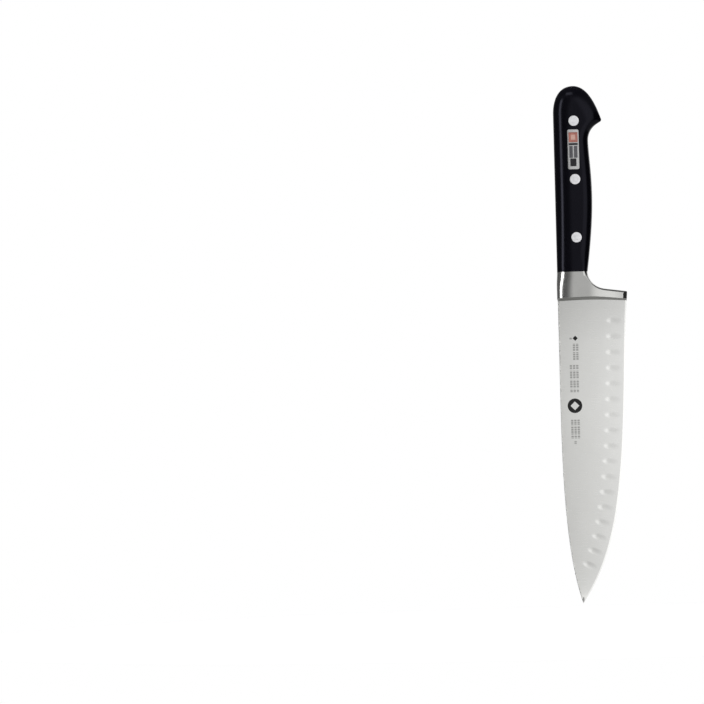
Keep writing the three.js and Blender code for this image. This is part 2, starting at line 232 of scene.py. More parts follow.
edge = joined(
    bezier((HEEL_EDGE_X, BLADE_TOP_Z), (25.2, -3), (24.9, -41), (EDGE_KNOT_X, EDGE_KNOT_Z)),
    bezier((EDGE_KNOT_X, EDGE_KNOT_Z), (18.5, -110), (13.9, -143.4), (TIP_X, TIP_Z)),
)
front_line = joined(dome, belly, guard_curve, guard_top, heel_corner, heel_end, edge)
rolled_front = joined(belly, guard_curve, guard_top, heel_corner)
rolled_back = joined(dome[::-1], spine_line)
handle_spine = joined(np.array([(BACK_X, JOINT_Z), (BACK_X, CROWN_Z)]), spine_crown[::-1])


def clamp(value):
    return np.clip(value, 0, 1)


def lerp(a, b, share):
    return a + (b - a) * share


def smooth(value):
    return clamp(value) ** 2 * (3 - 2 * clamp(value))


def quarter_round(share):
    return np.sqrt(1 - (1 - clamp(share)) ** 2)


def roll_depths(radius, steps=ROLL_STEPS):
    """Distances from a rim that are evenly spaced round its quarter-circle roll."""
    return radius * (1 - np.cos(np.linspace(0, math.pi / 2, steps + 1)[1:]))


def front_x(z):
    """The edge side of the outline at height z."""
    return np.interp(-z, -front_line[:, 1], front_line[:, 0])


def spine_x(z):
    """The spine side of the outline at height z."""
    return np.interp(-z, -spine_line[:, 1], spine_line[:, 0])


def distance_to(path, x, z):
    """How far each point is from a line, in batches to save memory."""
    starts, runs = path[:-1], np.diff(path, axis=0)
    points = np.column_stack([x, z])
    found = []
    for batch in np.array_split(points, len(points) // 4000 + 1):
        offset = batch[:, None, :] - starts[None]
        along = clamp((offset * runs).sum(2) / (runs ** 2).sum(1))
        found.append(np.hypot(*np.moveaxis(offset - along[..., None] * runs, 2, 0)).min(1))
    return np.concatenate(found)


# Half thickness of each region.

def handle_half(z):
    reach = np.where(z < SCALE_CREST_Z, SCALE_CREST_Z - JOINT_Z, BUTT_Z - SCALE_CREST_Z)
    drop = np.where(z < SCALE_CREST_Z, SCALE_JOINT_DROP, SCALE_BUTT_DROP)
    return SCALE_HALF - drop * ((z - SCALE_CREST_Z) / reach) ** 2


def crest_at(z):
    """Full half thickness of the handle at one height."""
    return float(handle_half(np.array(z)))


def front_round(z):
    """Radius of the roll along the belly and the guard, tighter towards the blade."""
    guard = lerp(GUARD_ROUND, JOINT_ROUND, smooth((z - GUARD_ROUND_Z) / (JOINT_Z - GUARD_ROUND_Z)))
    return lerp(guard, BELLY_ROUND, smooth((z - JOINT_Z) / (BELLY_ROUND_Z - JOINT_Z)))


def rolled_over(x, z):
    """How far the surface has risen from the rim to its full thickness, 0 to 1."""
    outer = distance_to(rolled_back, x, z)
    inner = distance_to(rolled_front, x, z)
    return quarter_round(outer / SPINE_ROUND) * quarter_round(inner / front_round(z))


def scale_half(x, z):
    return lerp(TANG_HALF, handle_half(z), rolled_over(x, z))


def heel_share(x):
    return smooth((x - HEEL_START_X) / (HEEL_X - HEEL_START_X))


def arch_z(x):
    """The line where the blade's face turns up into the bolster."""
    share = (x - BACK_X) / (HEEL_X - BACK_X)
    return lerp(ARCH_SPINE_Z, ARCH_HEEL_Z, share) + ARCH_RISE * np.sin(math.pi * share)


def fillet(x):
    """How far above the arch the bolster has its full thickness."""
    return lerp(FILLET, HEEL_FILLET, heel_share(x))


def face_plane(x, z):
    return SPINE_HALF - FACE_SLOPE_X * (x - BACK_X) - FACE_SLOPE_Z * (BLADE_TOP_Z - z)


def face_half(x, z):
    """The flat ground face, a plane that narrows towards the tip."""
    taper = clamp((PLANE_END_Z - z) / (PLANE_END_Z - TIP_Z))
    back = spine_x(z)
    shoulder = front_x(z) - BEVEL_WIDTH
    plane_shoulder = front_x(np.array(PLANE_END_Z)) - BEVEL_WIDTH
    back_half = lerp(face_plane(BACK_X, PLANE_END_Z), TIP_HALF, taper)
    shoulder_half = lerp(face_plane(plane_shoulder, PLANE_END_Z), SHOULDER_HALF, taper)
    across = clamp((x - back) / np.maximum(1, shoulder - back))
    return np.where(z >= PLANE_END_Z, face_plane(x, z), lerp(back_half, shoulder_half, across))


def hollow_frames(side):
    """Centre, long axis and short axis of each hollow; the back row is half a pitch further on."""
    back = side == BACK
    first = HOLLOW_FIRST + (HOLLOW_PITCH / 2 if back else 0)
    marks = first + HOLLOW_PITCH * np.arange(HOLLOW_COUNT - (1 if back else 0))
    feet = points_at(edge, marks)
    ahead = points_at(edge, marks + 0.1)
    along = (ahead - feet) / np.hypot(*(ahead - feet).T)[:, None]
    across = np.column_stack([along[:, 1], -along[:, 0]])
    return [(f + HOLLOW_INSET * c, c, a) for f, c, a in zip(feet, across, along)]


HOLLOWS = {side: hollow_frames(side) for side in (FRONT, BACK)}


def hollow_places(x, z, side):
    """Where points lie in each hollow, by shares of its half length and of its half width."""
    for centre, across, along in HOLLOWS[side]:
        u = ((x - centre[0]) * across[0] + (z - centre[1]) * across[1]) / (HOLLOW_LENGTH / 2)
        v = ((x - centre[0]) * along[0] + (z - centre[1]) * along[1]) / (HOLLOW_WIDTH / 2)
        yield u, v


def hollow_depth(x, z, side):
    """The hollows fall off quickly at their spine end and run out slowly towards the edge."""
    depth = np.zeros_like(x)
    for u, v in hollow_places(x, z, side):
        along = smooth((1 - u) / HOLLOW_ENTRY) * smooth((1 + u) / HOLLOW_EXIT)
        across = clamp(1 - v ** 2 / np.maximum(1e-6, 1 - u ** 2)) ** 2
        depth = np.maximum(depth, HOLLOW_DEPTH * along * across)
    return depth


def blade_half(x, z, side):
    keen = 1 - smooth((z - BLADE_TOP_Z) / BEVEL_FADE)
    bevel = clamp(1 - (front_x(z) - x) / BEVEL_WIDTH) * keen
    half = lerp(face_half(x, z) - hollow_depth(x, z, side), EDGE_HALF, bevel)
    corner = SPINE_CORNER * (1 - quarter_round((x - spine_x(z)) / SPINE_CORNER))
    return np.maximum(EDGE_HALF, half - corner)


def bolster_half(x, z, side):
    share = heel_share(x)
    foot = lerp(FOOT_HALF, HEEL_HALF, share)
    rise = smooth((z - HEEL_TOP_Z) / (JOINT_Z - HEEL_TOP_Z))
    crest = lerp(foot, crest_at(JOINT_Z), rise)
    rim = lerp(TANG_HALF, HEEL_RIM_HALF, share)
    full = lerp(rim, crest, rolled_over(x, z))
    facet = lerp(HEEL_RIM_HALF, HEEL_HALF, (front_x(z) - x) / HEEL_FACET)
    full = np.where(z < HEEL_TOP_Z, np.minimum(full, facet), full)
    return lerp(blade_half(x, z, side), full, smooth((z - arch_z(x)) / fillet(x)))


def forging_half(side):
    def half(x, z):
        return np.where(z > BLADE_TOP_Z, bolster_half(x, z, side), blade_half(x, z, side))
    return half


# Bodies.

class Shell:
    """A body in the making: welded points, faces, their looks and known corner normals."""

    def __init__(self):
        self.places = {}
        self.faces = []
        self.looks = []
        self.normals = []

    def indices(self, points):
        keys = map(tuple, np.round(points, KEY_DIGITS).tolist())
        return [self.places.setdefault(key, len(self.places)) for key in keys]

    def face(self, corners, look=0, normals=None):
        kept = [k for k, corner in enumerate(corners) if corner not in corners[:k]]
        if len(kept) > 2:
            self.faces.append([corners[k] for k in kept])
            self.looks.append(look)
            known = None if normals is None else {corners[k]: normals[k] for k in kept}
            self.normals.append(known)

    def strip(self, first, second, look=0, closed=False):
        """A band of faces between two lines with the same number of points."""
        a, b = self.indices(first), self.indices(second)
        for i in range(len(a) if closed else len(a) - 1):
            j = (i + 1) % len(a)
            self.face([a[i], a[j], b[j], b[i]], look)

    def turned(self, rings, look=0):
        """Bands through a row of closed rings."""
        for first, second in zip(rings, rings[1:]):
            self.strip(first, second, look, closed=True)

    def corner_normals(self, mesh):
        """A known normal where there is one, or else the mean of the faces that meet smoothly."""
        around = defaultdict(list)
        for face in mesh.polygons:
            if self.normals[face.index] is None:
                for corner in face.vertices:
                    around[corner].append(face.normal.copy())
        found = []
        for face in mesh.polygons:
            known = self.normals[face.index]
            for corner in face.vertices:
                if known is None:
                    near = [n for n in around[corner] if n.angle(face.normal, 0) < SMOOTH_ANGLE]
                    found.append(sum(near, Vector()).normalized())
                else:
                    found.append(Vector(known[corner]))
        return found

    def build(self, name, looks, slot, node, centre=(0, 0, 0)):
        """Makes the object, which rides on the body in place of its CAD node."""
        points = np.array(list(self.places)) - np.array(centre)
        mesh = bpy.data.meshes.new(name)
        mesh.from_pydata((points * MM).tolist(), [], self.faces)
        mesh.polygons.foreach_set("material_index", self.looks)
        bm = bmesh.new()
        bm.from_mesh(mesh)
        bmesh.ops.recalc_face_normals(bm, faces=bm.faces)
        bm.to_mesh(mesh)
        bm.free()
        for look in looks:
            mesh.materials.append(look)
        mesh.polygons.foreach_set("use_smooth", [True] * len(mesh.polygons))
        mesh.normals_split_custom_set(self.corner_normals(mesh))
        piece = bpy.data.objects.new(name, mesh)
        piece.location = (Vector(centre) + Vector((0, MID_Y, 0))) * MM
        bpy.context.scene.collection.objects.link(piece)
        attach(piece, BODY)
        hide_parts(node)
        return piece


def raised(path, side, half):
    """A line of the (x, z) plane lifted to a half thickness on one side."""
    x, z = path[:, 0], path[:, 1]
    height = half(x, z) if callable(half) else np.full(len(x), float(half))
    return np.column_stack([x, side * height, z])


def inside(loop, points):
    """Which points lie within a closed loop."""
    a, b = loop, np.roll(loop, -1, axis=0)
    found = []
    for batch in np.array_split(points, len(points) // 2000 + 1):
        x, z = batch[:, 0, None], batch[:, 1, None]
        straddles = (a[:, 1] > z) != (b[:, 1] > z)
        rise = np.where(b[:, 1] == a[:, 1], 1, b[:, 1] - a[:, 1])
        reach = a[:, 0] + (z - a[:, 1]) * (b[:, 0] - a[:, 0]) / rise
        found.append((straddles & (x < reach)).sum(1) % 2 == 1)
    return np.concatenate(found)


def triangulated(outer, holes, curves, free):
    """Corners and triangles of a region, with its holes left out and its curves kept as edges."""
    points, edges = [], []
    for loop in [outer, *holes]:
        edges += [(len(points) + i, len(points) + (i + 1) % len(loop)) for i in range(len(loop))]
        points += loop.tolist()
    for curve in curves:
        edges += [(len(points) + i, len(points) + i + 1) for i in range(len(curve) - 1)]
        points += curve.tolist()
    creased = {tuple(np.round(p, 3)) for p in points}
    points += free.tolist()
    made = geometry.delaunay_2d_cdt([Vector(p) for p in points], edges, [], 0, 1e-5, True)
    places = zip(made[0], made[3])
    corners = np.array([points[given[0]] if given else list(v) for v, given in places])
    triangles = np.array([face for face in made[2] if len(face) == 3])
    middles = corners[triangles].mean(1)
    keep = inside(outer, middles)
    for hole in holes:
        keep &= ~inside(hole, middles)
    flags = np.array([tuple(np.round(p, 3)) in creased for p in corners])
    return corners, triangles[keep], flags


def slopes(half, points):
    """How the half thickness climbs along x and z."""
    x, z = points[:, 0], points[:, 1]
    along_x = (half(x + NORMAL_REACH, z) - half(x - NORMAL_REACH, z)) / (2 * NORMAL_REACH)
    along_z = (half(x, z + NORMAL_REACH) - half(x, z - NORMAL_REACH)) / (2 * NORMAL_REACH)
    return along_x, along_z


def surface_normals(half, points, side):
    along_x, along_z = slopes(half, points)
    normals = np.column_stack([-along_x, np.full(len(points), float(side)), -along_z])
    return normals / np.linalg.norm(normals, axis=1)[:, None]


def add_sheet(shell, side, half, outer, holes=(), curves=(), free=np.empty((0, 2)), look=0):
    """One face of a body over a region, with exact normals; creases get their own on each side."""
    corners, triangles, creased = triangulated(outer, list(holes), list(curves), free)
    indices = shell.indices(raised(corners, side, half))
    at_corner = surface_normals(half, corners, side)
    middles = corners[triangles].mean(1)
    looks = look(middles[:, 0], middles[:, 1]) if callable(look) else np.full(len(middles), look)
    nudged = {}
    for k in range(3):
        leaning = np.flatnonzero(creased[triangles[:, k]])
        at = corners[triangles[leaning, k]]
        own = surface_normals(half, at + CREASE_SHARE * (middles[leaning] - at), side)
        nudged.update({(t, k): normal for t, normal in zip(leaning.tolist(), own.tolist())})
    for t, triangle in enumerate(triangles.tolist()):
        normals = [nudged.get((t, k)) or at_corner[c].tolist() for k, c in enumerate(triangle)]
        shell.face([indices[c] for c in triangle], int(looks[t]), normals)


def rim_distance(outline, points):
    return distance_to(np.vstack([outline, outline[:1]]), *points.T)


def square_to(line):
    """Unit vectors square to a line, at each of its points."""
    runs = np.gradient(line, axis=0)
    return np.column_stack([runs[:, 1], -runs[:, 0]]) / np.hypot(*runs.T)[:, None]


def flat_sheet(shell, side, outer, holes, look=0):
    """The flat face where the tang and a scale lie against each other."""
    corners, triangles, _ = triangulated(outer, holes, [], np.empty((0, 2)))
    indices = shell.indices(raised(corners, side, TANG_HALF))
    for triangle in triangles.tolist():
        shell.face([indices[c] for c in triangle], look)


def rim_band(path, depths, outline, step):
    """Points along a rim at each depth of its roll, where no other rim is nearer."""
    line = spaced(path, step)
    inward = square_to(line)
    middle = len(line) // 2
    if not inside(outline, line[None, middle] + PROBE * inward[None, middle])[0]:
        inward = -inward
    kept = []
    for depth in depths:
        reach = depth(line) if callable(depth) else depth
        points = line + inward * np.reshape(reach, (-1, 1))
        clear = rim_distance(outline, points) > RIM_SHARE * reach
        kept.append(points[clear & inside(outline, points)])
    return np.vstack(kept)


def grid(x_range, z_range, step):
    x, z = np.meshgrid(np.arange(*x_range, step), np.arange(*z_range, step))
    return np.column_stack([x.ravel(), z.ravel()])


def clear_of(points, outline, gap):
    """The points inside an outline, at least a gap away from it."""
    return points[inside(outline, points) & (rim_distance(outline, points) > gap)]


def circle(centre, radius, count=64):
    angle = np.linspace(0, 2 * math.pi, count, endpoint=False)
    return np.column_stack([centre[0] + radius * np.cos(angle), centre[1] + radius * np.sin(angle)])


# Forging.

def joint_line():
    """The bolster's top edge, its points closer together where the surface rolls over."""
    left = BACK_X + roll_depths(SPINE_ROUND)
    right = JOINT_FRONT_X - roll_depths(JOINT_ROUND)
    middle = np.arange(left[-1] + RIM_STEP, right[-1], RIM_STEP)
    x = np.concatenate([[BACK_X], left, middle, right[::-1], [JOINT_FRONT_X]])
    return np.column_stack([x, np.full(len(x), JOINT_Z)])


def spine_edge():
    """The spine from the tip up to the joint, closely stepped beside the arch."""
    blade = np.arange(TIP_Z + RIM_STEP, BLADE_TOP_Z - 1, RIM_STEP)
    arch = np.arange(BLADE_TOP_Z - 1, BLADE_TOP_Z + 5, 0.25)
    bolster = np.arange(BLADE_TOP_Z + 5, JOINT_Z - 0.3, RIM_STEP)
    z = np.concatenate([blade, arch, bolster])
    return np.column_stack([spine_x(z), z])


def forging_outline():
    lower = [
        spaced(guard_curve, 0.5), spaced(guard_top, GUARD_STEP), heel_corner, spaced(heel_end, 0.4),
    ]
    return joined(joint_line(), *lower, spaced(edge, 0.7)), spine_edge()


def hollow_rings(side):
    """Rims of the hollows as closed curves, and the rings inside them."""
    rims, rings = [], []
    for centre, across, along in HOLLOWS[side]:
        for share in np.arange(10, 0, -1) / 10:
            turn = circle((0, 0), share, 40 if share > 0.5 else 20)
            u = turn[:, :1] * across * HOLLOW_LENGTH / 2
            ring = centre + u + turn[:, 1:] * along * HOLLOW_WIDTH / 2
            if share == 1.0:
                rims.append(np.vstack([ring, ring[:1]]))
            else:
                rings.append(ring)
    return rims, rings


def arch_grid():
    """Points that climb the fillet between the blade and the bolster."""
    left = BOLSTER_BACK_X + roll_depths(SPINE_ROUND)
    right = HEEL_X - roll_depths(HEEL_FACET, 6)
    middle = np.arange(left[-1] + RIM_STEP, right[-1] - RIM_STEP / 2, RIM_STEP)
    x = np.concatenate([left, middle, right[::-1]])
    lifts = np.arange(-ARCH_MARGIN, FILLET + 0.7, ARCH_STEP)
    return np.vstack([np.column_stack([x, arch_z(x) + lift]) for lift in lifts])


def front_depths():
    """Depths of the roll along the belly and the guard, as shares of its radius there."""
    return [lambda line, share=share: share * front_round(line[:, 1]) for share in roll_depths(1.0)]


def in_hollow(points, side):
    places = hollow_places(*points.T, side)
    return np.any([u ** 2 + v ** 2 < HOLLOW_CLEAR for u, v in places], axis=0)


def forging_points(outline, side):
    """Where the forging's surface bends, and a sparse grid over its flat face."""
    guard = joined(guard_curve, guard_top)
    bands = np.vstack([
        rim_band(bolster_back, roll_depths(SPINE_ROUND), outline, ROLL_STEP),
        rim_band(guard, front_depths(), outline, GUARD_STEP),
        clear_of(grid((-10, 27), (31, 46), BOLSTER_GRID), outline, BOLSTER_GAP),
    ])
    bands = bands[bands[:, 1] > arch_z(bands[:, 0]) + fillet(bands[:, 0]) + ARCH_CLEAR]
    flat = clear_of(grid((-16.5, 27), (TIP_Z, BLADE_TOP_Z), BLADE_GRID), outline, BLADE_GAP)
    z = np.arange(TIP_Z + TIP_MARGIN, BLADE_TOP_Z, RIM_STEP)
    corner = [np.column_stack([spine_x(z) + depth, z]) for depth in roll_depths(SPINE_CORNER, 4)]
    climb = clear_of(arch_grid(), outline, PROBE)
    points = np.vstack([bands, flat, *corner, climb])
    return points[~in_hollow(points, side)]


SATIN, POLISHED, TANG = 0, 1, 2


def forging_look(x, z):
    return np.where(z > arch_z(x), POLISHED, SATIN)


def tang_loop(inset=0.0):
    """The handle's outline above the joint, drawn in by an inset."""
    loop = joined(spaced(handle_spine, RIM_STEP), spaced(dome, 0.6), spaced(belly, 0.6))
    drawn = loop + inset * square_to(loop)
    drawn[[0, -1]] = loop[[0, -1]] + [(inset, 0), (-inset, 0)]
    return drawn


def forging(looks):
    shell = Shell()
    ahead, behind = forging_outline()
    outline = np.vstack([ahead, behind])
    for side in (FRONT, BACK):
        half = forging_half(side)
        rims, rings = hollow_rings(side)
        arch_x = np.linspace(BACK_X + 1, HEEL_X - 1.5, 50)
        arch = np.column_stack([arch_x, arch_z(arch_x)])
        shoulder = spaced(edge[edge[:, 1] > TIP_Z + TIP_MARGIN], RIM_STEP) - (BEVEL_WIDTH, 0)
        facet_z = np.linspace(BLADE_TOP_Z + 1.0, HEEL_TOP_Z - 1.3, 12)
        facet = np.column_stack([front_x(facet_z) - HEEL_FACET, facet_z])
        free = np.vstack([forging_points(outline, side), *rings])
        curves = [*rims, arch, shoulder, facet]
        add_sheet(shell, side, half, outline, (), curves, free, forging_look)
    front, back = (raised(outline, side, forging_half(side)) for side in (FRONT, BACK))
    joint = len(joint_line())
    shell.strip(front[joint - 1:], back[joint - 1:], TANG)
    shell.strip(np.vstack([front[-1:], front[:1]]), np.vstack([back[-1:], back[:1]]), TANG)
    tang(shell, outline[:joint])
    return shell.build("blade_forging", looks, "blade_steel", "forged_blade")


def tang(shell, joint):
    """The flat tang between the scales, with its edges just broken."""
    rim, inner = tang_loop(), tang_loop(TANG_CHAMFER)
    bores = rivet_holes(SLEEVE_RADIUS)
    broken = TANG_HALF - TANG_CHAMFER
    for side in (FRONT, BACK):
        half = forging_half(side)
        ledge = raised(joint, side, TANG_HALF)
        shell.strip(ledge, raised(joint, side, half), POLISHED)
        flat = np.vstack([inner, joint[1:-1][::-1]])
        flat_sheet(shell, side, flat, bores, TANG)
        shell.strip(raised(inner, side, TANG_HALF), raised(rim, side, broken), TANG)
    shell.strip(raised(rim, -1, broken), raised(rim, 1, broken), TANG)
    for bore in bores:
        shell.strip(raised(bore, -1, TANG_HALF), raised(bore, 1, TANG_HALF), TANG, closed=True)


# Handle scales.

def rivet_axes():
    """Middle of each rivet's pin, in millimetres."""
    return [sum(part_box(f"rivet_pin_{name}"), Vector()) / 2 / MM for name in RIVETS]


def rivet_holes(radius):
    return [circle((axis.x, axis.z), radius + FIT) for axis in rivet_axes()]


def head_seat(axis):
    """Half thickness at which a rivet's head rests in its scale."""
    return crest_at(axis.z) - HEAD_THICKNESS


def rounded_box(centre, width, length, corner, count=8):
    """A rectangle with round corners, as a loop."""
    turns = np.linspace(0, math.pi / 2, count)
    loop = []
    for quarter, (sx, sz) in enumerate(((1, 1), (-1, 1), (-1, -1), (1, -1))):
        angle = turns + quarter * math.pi / 2
        middle = (centre[0] + sx * (width / 2 - corner), centre[1] + sz * (length / 2 - corner))
        loop.append(np.column_stack([np.cos(angle), np.sin(angle)]) * corner + middle)
    return np.vstack(loop)


def emblem_place():
    low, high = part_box("emblem_plate")
    centre = (low + high) / 2 / MM
    return (centre.x, centre.z), (high.x - low.x) / MM, (high.z - low.z) / MM


def scale_points(outline):
    spine_rim = joined(handle_spine, dome)
    bands = [
        rim_band(spine_rim, roll_depths(SPINE_ROUND), outline, SCALE_STEP),
        rim_band(belly, front_depths(), outline, SCALE_STEP),
        clear_of(grid((-17, 14), (JOINT_Z + 1, BUTT_Z), SCALE_GRID), outline, BELLY_ROUND + 0.1),
    ]
    return np.vstack(bands)


def handle_scale(side, name, look):
    shell = Shell()
    half = scale_half
    rim = tang_loop()
    joint = joint_line()
    outline = np.vstack([rim, joint[1:-1][::-1]])
    heads = rivet_holes(HEAD_RADIUS)
    bores = rivet_holes(SLEEVE_RADIUS)
    holes = list(heads)
    if side == FRONT:
        centre, width, length = emblem_place()
        holes.append(rounded_box(centre, width + 2 * FIT, length + 2 * FIT, EMBLEM_CORNER))
    free = scale_points(outline)
    for hole in holes:
        middle = hole.mean(0)
        free = free[~inside(middle + (hole - middle) * HOLE_MARGIN, free)]
    add_sheet(shell, side, half, outline, holes, (), free)
    flat_sheet(shell, side, outline, bores)
    shell.strip(raised(joint, side, half), raised(joint, side, TANG_HALF))
    for axis, head, bore in zip(rivet_axes(), heads, bores):
        seat = head_seat(axis)
        rings = [raised(head, side, half), raised(head, side, seat)]
        rings += [raised(bore, side, seat), raised(bore, side, TANG_HALF)]
        shell.turned(rings)
    if side == FRONT:
        floor = crest_at(centre[1]) - EMBLEM_THICKNESS - FIT
        pocket = holes[-1]
        shell.strip(raised(pocket, side, half), raised(pocket, side, floor), closed=True)
        shell.face(shell.indices(raised(pocket, side, floor)))
    node = "front_scale" if side == FRONT else "back_scale"
    return shell.build(name, [look], "handle_polymer", node)


# Rivets.

def proud_half(x, z):
    """The metal in the handle stands a hair proud of it."""
    return scale_half(x, z) + PROUD


def below(depth):
    """The metal's surface, less a depth."""
    return lambda x, z: proud_half(x, z) - depth


def rivet_half(kind, name, axis, look, profile):
    """A piece turned round its axis, from rings of radius, side and half thickness."""
    shell = Shell()
    shell.turned([raised(circle((axis.x, axis.z), r), side, half) for r, side, half in profile])
    centre = (axis.x, 0, axis.z)
    return shell.build(f"{kind}_{name}", [look], "rivet_steel", f"rivet_{kind}_{name}", centre)


def rivet_sleeve(name, axis, look):
    """The socket half: a head flush with the front scale on a tube."""
    seat = head_seat(axis)
    bore = PIN_RADIUS + FIT
    return rivet_half("sleeve", name, axis, look, [
        (bore, BACK, seat - FIT),
        (bore, FRONT, below(BROKEN_DEPTH)),
        (bore + 0.09, FRONT, below(0)),
        (HEAD_RADIUS - HEAD_CROWN, FRONT, below(0)),
        (HEAD_RADIUS - HEAD_EDGE, FRONT, below(0.02)),
        (HEAD_RADIUS, FRONT, below(BROKEN_DEPTH)),
        (HEAD_RADIUS, FRONT, seat),
        (SLEEVE_RADIUS, FRONT, seat),
        (SLEEVE_RADIUS, BACK, seat - FIT),
        (bore, BACK, seat - FIT),
    ])


def rivet_pin(name, axis, look):
    """The pin half: a head flush with the back scale on a pin whose end shows at the front."""
    seat = head_seat(axis)
    return rivet_half("pin", name, axis, look, [
        (0, FRONT, below(0.14)),
        (0.6, FRONT, below(0.12)),
        (PIN_RADIUS - 0.2, FRONT, below(0.05)),
        (PIN_RADIUS, FRONT, below(0.16)),
        (PIN_RADIUS, BACK, seat),
        (HEAD_RADIUS, BACK, seat),
        (HEAD_RADIUS, BACK, below(BROKEN_DEPTH)),
        (HEAD_RADIUS - HEAD_EDGE, BACK, below(0.02)),
        (HEAD_RADIUS - HEAD_CROWN, BACK, below(0)),
        (0, BACK, below(0)),
    ])


# Emblem: a framed plate with plain inlays.

FRAME_RIM = 0.8
CELL_DEPTH = 0.5
CELL_CORNER = 0.3
TILE_CORNER = 0.25
TILE_LIP = 0.16
TILE_EDGE = 0.07
TILE_FIT = 0.1
TILE_LIFT = 0.01
TILE_DEPTH = 0.12
ENAMEL_DEPTH = 0.1
INSET_DEPTH = 0.02
INSET_BASE = 0.11
FRAME_LIP = 0.3
FRAME_EDGE = 0.12
GRIP_GAP = 0.8
# Each recess: its shift across, how far its middle lies below the top, narrowing and length.
CELLS = {
    "enamel": (0.0, 5.2, 0.0, 6.7),
    "bar": (0.0, 9.7, 0.0, 1.4),
    "grooved": (0.0, 14.8, 0.0, 8.0),
    "badge": (-0.2, 21.7, 1.9, 5.2),
}


def emblem_cells():
    """Centre, width and length of the plate's recesses, from the butt end down."""
    (x, z), width, length = emblem_place()
    top = z + length / 2
    inner = width - 2 * FRAME_RIM
    return {
        name: ((x + shift, top - down), inner - narrowing, cell_length)
        for name, (shift, down, narrowing, cell_length) in CELLS.items()
    }


def emblem_frame(look):
    shell = Shell()
    centre, width, length = emblem_place()
    floor = crest_at(centre[1]) - EMBLEM_THICKNESS
    cells = [rounded_box(*cell, CELL_CORNER) for cell in emblem_cells().values()]
    rim = rounded_box(centre, width, length, EMBLEM_CORNER)
    corner = EMBLEM_CORNER - FRAME_LIP / 2
    lip = rounded_box(centre, width - FRAME_LIP, length - FRAME_LIP, corner)
    add_sheet(shell, FRONT, below(0), lip, cells, ())
    rim_ring = raised(rim, FRONT, below(FRAME_EDGE))
    back_ring = raised(rim, FRONT, floor)
    shell.strip(raised(lip, FRONT, below(0)), rim_ring, closed=True)
    shell.strip(rim_ring, back_ring, closed=True)
    shell.face(shell.indices(back_ring))
    for cell in cells:
        foot = raised(cell, FRONT, below(CELL_DEPTH))
        shell.strip(raised(cell, FRONT, below(0)), foot, closed=True)
        add_sheet(shell, FRONT, below(CELL_DEPTH), cell)
    return shell.build("emblem_frame", [look], "emblem_metal", "emblem_plate")


def emblem_tile(name, centre, width, length, depth, look, base=CELL_DEPTH):
    """A slab with round corners and a broken edge that fills part of a recess."""
    shell = Shell()
    rim = rounded_box(centre, width, length, TILE_CORNER)
    lip = rounded_box(centre, width - TILE_LIP, length - TILE_LIP, TILE_CORNER - TILE_LIP / 2)
    edge_ring = raised(rim, FRONT, below(depth + TILE_EDGE))
    add_sheet(shell, FRONT, below(depth), lip)
    shell.strip(raised(lip, FRONT, below(depth)), edge_ring, closed=True)
    shell.strip(edge_ring, raised(rim, FRONT, below(base - TILE_LIFT)), closed=True)
    add_sheet(shell, FRONT, below(base - TILE_LIFT), rim)
    return shell.build(name, [look], "emblem_metal", "emblem_plate")


def emblem(looks):
    cells = emblem_cells()

    def fill(name, depth, look):
        at, width, length = cells[name]
        emblem_tile(f"emblem_{name}", at, width - TILE_FIT, length - TILE_FIT, depth, looks[look])

    emblem_frame(looks["silver"])
    fill("enamel", ENAMEL_DEPTH, "enamel")
    at, width, length = cells["enamel"]
    emblem_tile("emblem_inset", at, width / 2, length / 2, INSET_DEPTH, looks["pale"], INSET_BASE)
    fill("bar", TILE_DEPTH, "dark")
    (x, z), width, length = cells["grooved"]
    for turn, name in ((-1, "emblem_grip_left"), (1, "emblem_grip_right")):
        at = (x + turn * width / 4, z)
        emblem_tile(name, at, width / 2 - GRIP_GAP, length - 0.3, TILE_DEPTH, looks["brushed"])
    fill("badge", TILE_DEPTH, "dark")


# Materials.

class Nodes:
    """A node tree made by short calls."""

    def __init__(self, tree, coordinates):
        self.tree = tree
        self.place = self.node("TexCoord").outputs[coordinates]

    def node(self, kind, inputs=(), **attributes):
        made = self.tree.nodes.new("ShaderNode" + kind)
        for key, value in attributes.items():
            setattr(made, key, value)
        for key, value in dict(inputs).items():
            self.link(value, made.inputs[key])
        return made

    def link(self, value, socket):
        if isinstance(value, bpy.types.NodeSocket):
            self.tree.links.new(value, socket)
        else:
            socket.default_value = value

    def math(self, operation, *values):
        return self.node("Math", dict(enumerate(values)), operation=operation).outputs[0]

    def noise(self, scale, detail=4.0):
        """Noise with its own scale along each axis, in cycles per metre."""
        inputs = {"Vector": self.place, "Scale": scale}
        placed = self.node("Mapping", inputs).outputs[0]
        inputs = {"Vector": placed, "Scale": 1.0, "Detail": detail, "Roughness": 0.6}
        return self.node("TexNoise", inputs).outputs["Fac"]

    def ramp(self, factor, *stops):
        """A colour or grey for each (place, value) stop."""
        made = self.node("ValToRGB", {"Fac": factor})
        steps = made.color_ramp.elements
        while len(steps) < len(stops):
            steps.new(0.5)
        for step, (place, value) in zip(steps, stops):
            step.position = place
            step.color = (*value, 1) if isinstance(value, tuple) else (value, value, value, 1)
        return made.outputs["Color"]

    def mix(self, factor, first, second, blend="MIX"):
        inputs = {0: factor, 6: first, 7: second}
        made = self.node("Mix", inputs, data_type="RGBA", blend_type=blend)
        return made.outputs[2]

    def bump(self, height, distance, strength=1.0, under=None):
        inputs = {"Height": height, "Distance": distance, "Strength": strength}
        if under is not None:
            inputs["Normal"] = under
        return self.node("Bump", inputs).outputs["Normal"]

    def axes(self):
        return self.node("SeparateXYZ", {"Vector": self.place}).outputs


